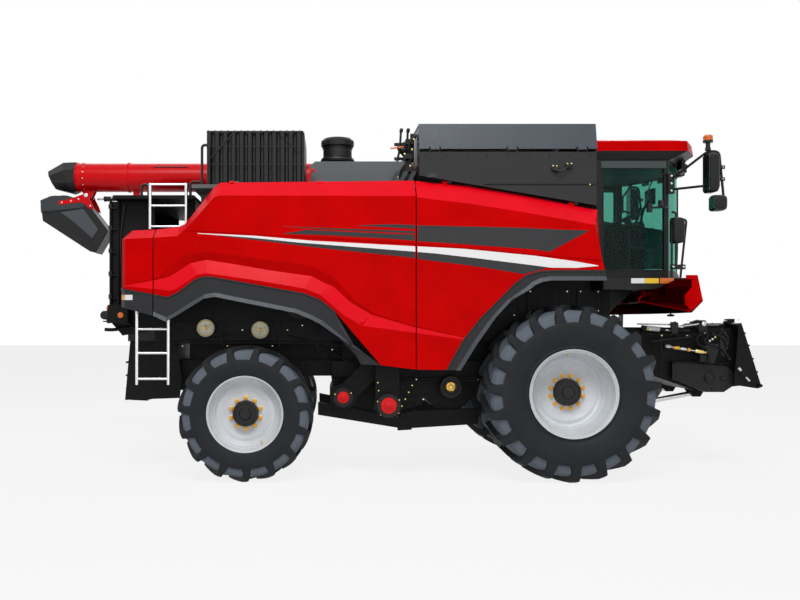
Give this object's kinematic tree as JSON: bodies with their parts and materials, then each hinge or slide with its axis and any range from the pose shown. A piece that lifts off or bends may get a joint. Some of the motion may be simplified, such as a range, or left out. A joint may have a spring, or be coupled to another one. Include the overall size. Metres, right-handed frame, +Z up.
{
  "type": "combine harvester",
  "caption": "Self-propelled combine harvester with cab, open-topped grain tank, swinging unloading auger and a lifting feeder house with no header fitted.",
  "frame": {"origin": "on the ground under the middle of the machine's overall box", "axes": "+X forward, +Y to the machine's left, +Z up"},
  "size_m": [8.74, 3, 3.8999],
  "materials": {
    "black_plastic": "matte",
    "cast_metal": "rough",
    "dark_paint": "satin",
    "glazing": "clear",
    "grey_paint": "satin",
    "ladder_metal": "satin",
    "lamp_amber": "clear",
    "red_paint": "gloss",
    "rim_paint": "satin",
    "steel": "brushed",
    "tread": "matte",
    "trim_fabric": "woven"
  },
  "bodies": {
    "chassis": {"air_precleaner": "black_plastic", "auger_turret": "grey_paint", "beacons": "lamp_amber", "cab_frame": "dark_paint", "cab_glass": "glazing", "cab_interior": "trim_fabric", "cab_roof": "red_paint", "cleaning_shoe": "dark_paint", "drive_pulleys": "dark_paint", "elevators": "red_paint", "engine_block": "cast_metal", "engine_deck": "grey_paint", "front_axle": "cast_metal", "grain_tank": "grey_paint", "handrails": "black_plastic", "main_frame": "dark_paint", "mirrors": "black_plastic", "nose_panel": "red_paint", "platform": "dark_paint", "radiator_housing": "dark_paint", "rear_axle": "cast_metal", "rear_corners": "red_paint", "rear_hood": "red_paint", "rear_walkway": "dark_paint", "separator_body": "dark_paint", "service_ladders": "ladder_metal", "straw_chopper": "dark_paint", "tank_cover_linkage": "dark_paint", "work_lights": "black_plastic"},
    "wheel_front_left": {"tyre_front_left": "tread", "rim_front_left": "rim_paint"},
    "wheel_rear_left": {"tyre_rear_left": "tread", "rim_rear_left": "rim_paint"},
    "knuckle_left": {"knuckle_left": "cast_metal"},
    "cover_left": {"tank_cover_left": "grey_paint"},
    "rear_door_left": {"rear_door_left": "red_paint"},
    "front_door_left": {"front_door_left": "red_paint"},
    "wheel_front_right": {"tyre_front_right": "tread", "rim_front_right": "rim_paint"},
    "wheel_rear_right": {"tyre_rear_right": "tread", "rim_rear_right": "rim_paint"},
    "knuckle_right": {"knuckle_right": "cast_metal"},
    "cover_right": {"tank_cover_right": "grey_paint"},
    "rear_door_right": {"rear_door_right": "red_paint"},
    "front_door_right": {"front_door_right": "red_paint"},
    "steering_rod": {"steering_rod": "steel"},
    "feeder": {"feeder_house": "dark_paint", "feeder_conveyor": "dark_paint", "feeder_drive_cover": "red_paint"},
    "header_frame": {"header_frame": "dark_paint"},
    "lift_barrels": {"lift_barrels": "dark_paint"},
    "lift_rods": {"lift_rods": "steel"},
    "auger": {"auger_tube": "grey_paint", "auger_boot": "black_plastic"},
    "spout": {"spout": "black_plastic"},
    "cab_door": {"cab_door": "dark_paint", "cab_door_glass": "glazing"},
    "entry_ladder": {"entry_ladder": "ladder_metal"}
  },
  "joints": [
    {"name": "roll_front_left", "type": "hinge", "parent": "chassis", "child": "wheel_front_left", "pos_m": [2.06, 1.175, 0.95], "axis": [0, 1, 0], "continuous": true},
    {"name": "roll_front_right", "type": "hinge", "parent": "chassis", "child": "wheel_front_right", "pos_m": [2.06, -1.175, 0.95], "axis": [0, 1, 0], "continuous": true},
    {"name": "steer_left", "type": "hinge", "parent": "chassis", "child": "knuckle_left", "pos_m": [-1.423, 0.9, 0.73], "axis": [0, 0, 1], "range_deg": [-35, 35]},
    {"name": "steer_right", "type": "hinge", "parent": "chassis", "child": "knuckle_right", "pos_m": [-1.423, -0.9, 0.73], "axis": [0, 0, 1], "range_deg": [-35, 35]},
    {"name": "track_rod", "type": "hinge", "parent": "knuckle_left", "child": "steering_rod", "pos_m": [-1.663, 0.9, 0.678], "axis": [0, 0, 1], "range_deg": [-35, 35]},
    {"name": "roll_rear_left", "type": "hinge", "parent": "knuckle_left", "child": "wheel_rear_left", "pos_m": [-1.423, 1.2, 0.73], "axis": [0, 1, 0], "continuous": true},
    {"name": "roll_rear_right", "type": "hinge", "parent": "knuckle_right", "child": "wheel_rear_right", "pos_m": [-1.423, -1.2, 0.73], "axis": [0, 1, 0], "continuous": true},
    {"name": "feeder_lift", "type": "hinge", "parent": "chassis", "child": "feeder", "pos_m": [2.92, 0, 1.43], "axis": [0, -1, 0], "range_deg": [-20, 2]},
    {"name": "lift_barrel_swing", "type": "hinge", "parent": "chassis", "child": "lift_barrels", "pos_m": [2.31, 0, 0.6], "axis": [0, -1, 0], "range_deg": [-12, 3]},
    {"name": "lift_extend", "type": "slide", "parent": "lift_barrels", "child": "lift_rods", "axis": [0.9817, 0, 0.1903], "range_m": [-0.3, 0.05]},
    {"name": "header_tilt", "type": "hinge", "parent": "feeder", "child": "header_frame", "pos_m": [4.16722, 0, 1.68011], "axis": [0.9537, 0, 0.3007], "range_deg": [-4, 4]},
    {"name": "auger_swing", "type": "hinge", "parent": "chassis", "child": "auger", "pos_m": [0.16, 1, 3.655], "axis": [0, 0, -1], "range_deg": [0, 95]},
    {"name": "spout_fold", "type": "hinge", "parent": "auger", "child": "spout", "pos_m": [-3.74, 1, 3.392], "axis": [0, -1, 0], "range_deg": [0, 40]},
    {"name": "cover_left_open", "type": "hinge", "parent": "chassis", "child": "cover_left", "pos_m": [1.46, 1.3, 3.57], "axis": [-1, 0, 0], "range_deg": [0, 95]},
    {"name": "rear_door_left_open", "type": "hinge", "parent": "chassis", "child": "rear_door_left", "pos_m": [-0.59, 1.235, 3.222], "axis": [1, 0, 0], "range_deg": [0, 75]},
    {"name": "front_door_left_open", "type": "hinge", "parent": "chassis", "child": "front_door_left", "pos_m": [1.435, 1.262, 3.10018], "axis": [0.9861, 0, -0.166], "range_deg": [0, 75]},
    {"name": "cover_right_open", "type": "hinge", "parent": "chassis", "child": "cover_right", "pos_m": [1.46, -1.3, 3.57], "axis": [1, 0, 0], "range_deg": [0, 95]},
    {"name": "rear_door_right_open", "type": "hinge", "parent": "chassis", "child": "rear_door_right", "pos_m": [-0.59, -1.235, 3.222], "axis": [-1, 0, 0], "range_deg": [0, 75]},
    {"name": "front_door_right_open", "type": "hinge", "parent": "chassis", "child": "front_door_right", "pos_m": [1.435, -1.262, 3.10018], "axis": [-0.9861, 0, 0.166], "range_deg": [0, 75]},
    {"name": "cab_door_open", "type": "hinge", "parent": "chassis", "child": "cab_door", "pos_m": [2.53, 0.882, 2.6], "axis": [0, 0, 1], "range_deg": [0, 80]},
    {"name": "ladder_fold", "type": "hinge", "parent": "chassis", "child": "entry_ladder", "pos_m": [3.3, 1.415, 1.24], "axis": [1, 0, 0], "range_deg": [0, 160]}
  ],
  "couplings": [
    {"joint": "steer_right", "follows": "steer_left", "ratio": 1},
    {"joint": "track_rod", "follows": "steer_left", "ratio": -1},
    {"joint": "lift_barrel_swing", "follows": "feeder_lift", "ratio": 0.495},
    {"joint": "lift_extend", "follows": "feeder_lift", "m_per_rad": 0.752}
  ]
}
